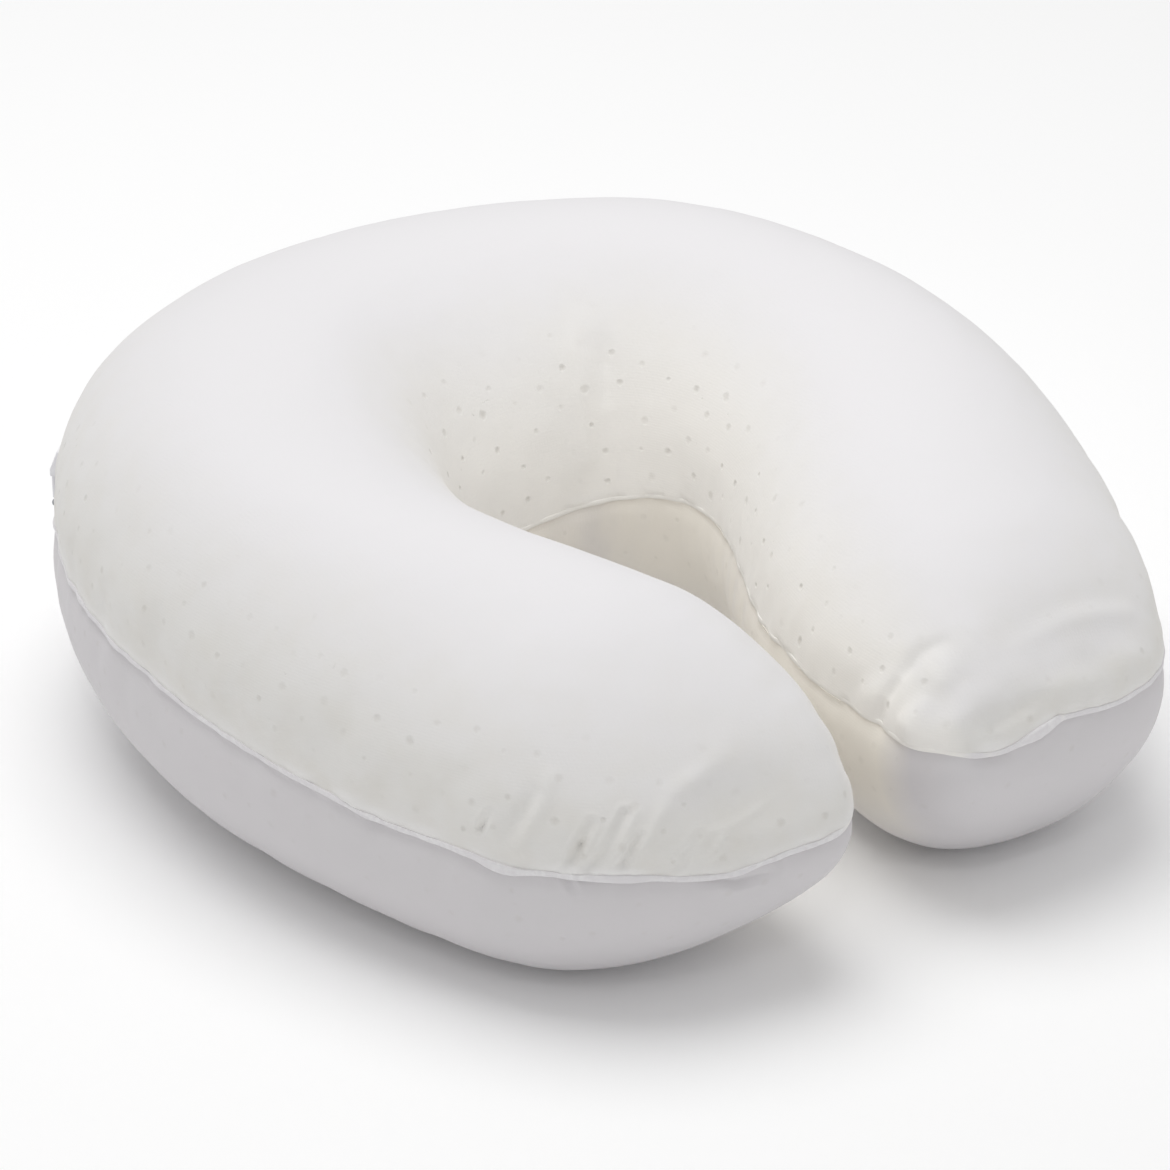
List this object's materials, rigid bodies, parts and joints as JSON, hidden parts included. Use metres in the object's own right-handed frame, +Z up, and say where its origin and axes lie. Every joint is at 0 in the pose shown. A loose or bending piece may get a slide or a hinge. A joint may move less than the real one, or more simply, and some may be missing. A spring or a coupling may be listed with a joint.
{
  "type": "travel pillow",
  "caption": "U-shaped neck pillow lying on its back: a plump filled horseshoe in a two-panel knit cover, with a sewn edge at mid height and a small zip at the back.",
  "frame": {"origin": "on the floor, under the middle of the footprint", "axes": "+Z up, -Y out through the mouth between the arms, +X to the right of someone who looks in through the mouth"},
  "size_m": [0.272, 0.307, 0.113],
  "materials": {
    "upper_cloth": "fine stretch knit with small pinhole dimples, ivory, matte",
    "lower_cloth": "smooth knit, cool off-white, matte",
    "seam_cloth": "overlocked cloth edge, off-white, matte",
    "zip_nylon": "moulded nylon, pale grey, satin",
    "knob_nylon": "moulded nylon, mid grey, satin"
  },
  "bodies": {
    "root": {"upper_panel": "upper_cloth", "lower_panel": "lower_cloth", "seam_ridge": "seam_cloth", "zip_slider": "zip_nylon", "zip_pull": "zip_nylon", "zip_pull_knob": "knob_nylon"}
  },
  "joints": []
}
